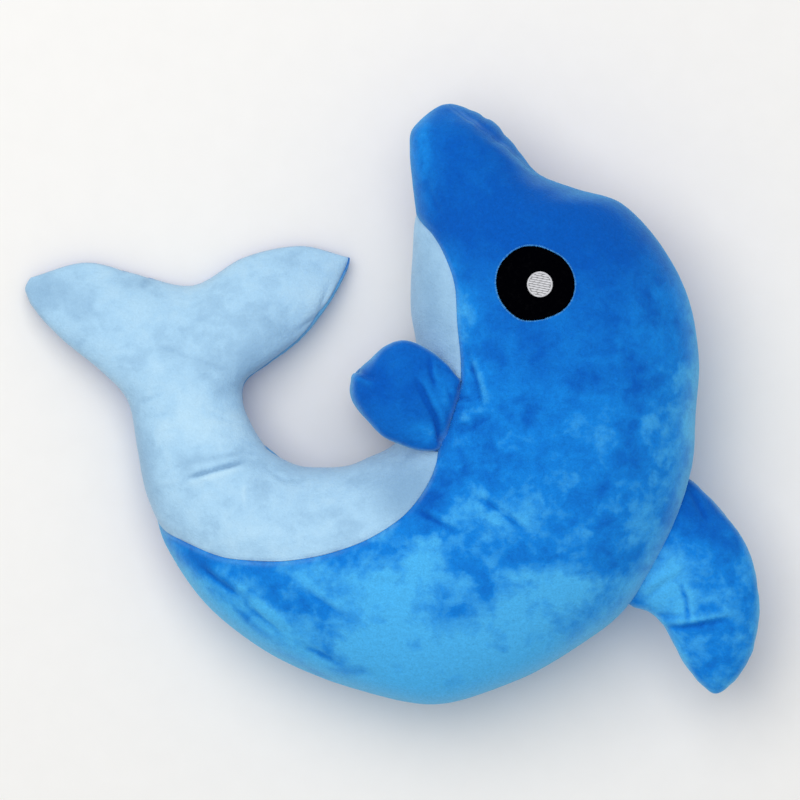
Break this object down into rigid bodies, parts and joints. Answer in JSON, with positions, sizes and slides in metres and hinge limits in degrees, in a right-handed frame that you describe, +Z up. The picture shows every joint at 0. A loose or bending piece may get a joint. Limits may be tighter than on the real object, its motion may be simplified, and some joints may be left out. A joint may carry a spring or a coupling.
{
  "type": "plush dolphin",
  "caption": "Stuffed plush dolphin lying on its side, curled with the tail raised, sewn from blue and light blue pile fabric.",
  "frame": {"origin": "centre of the bounding box in plan, on the surface that the toy lies on", "axes": "+Z up from the surface towards the near side, +X from the tail flukes towards the back fin, +Y towards the tip of the snout"},
  "size_m": [0.4397, 0.36, 0.1238],
  "materials": {
    "blue_plush": "short velvety pile with nap patches",
    "light_blue_plush": "short velvety pile with nap patches",
    "black_eye_fabric": "flat short pile",
    "white_thread": "satin-stitch embroidery",
    "fibre_filling": "loose polyester fibre"
  },
  "bodies": {
    "root": {"near_side_panel": "blue_plush", "far_side_panel": "blue_plush", "belly_panel": "light_blue_plush", "body_filling": "fibre_filling", "dorsal_fin_near_panel": "blue_plush", "dorsal_fin_far_panel": "blue_plush", "dorsal_fin_filling": "fibre_filling", "near_flipper_near_panel": "blue_plush", "near_flipper_far_panel": "blue_plush", "near_flipper_filling": "fibre_filling", "far_flipper_near_panel": "blue_plush", "far_flipper_far_panel": "blue_plush", "far_flipper_filling": "fibre_filling", "near_eye_patch": "black_eye_fabric", "near_eye_pupil": "white_thread", "far_eye_patch": "black_eye_fabric", "far_eye_pupil": "white_thread"}
  },
  "joints": []
}
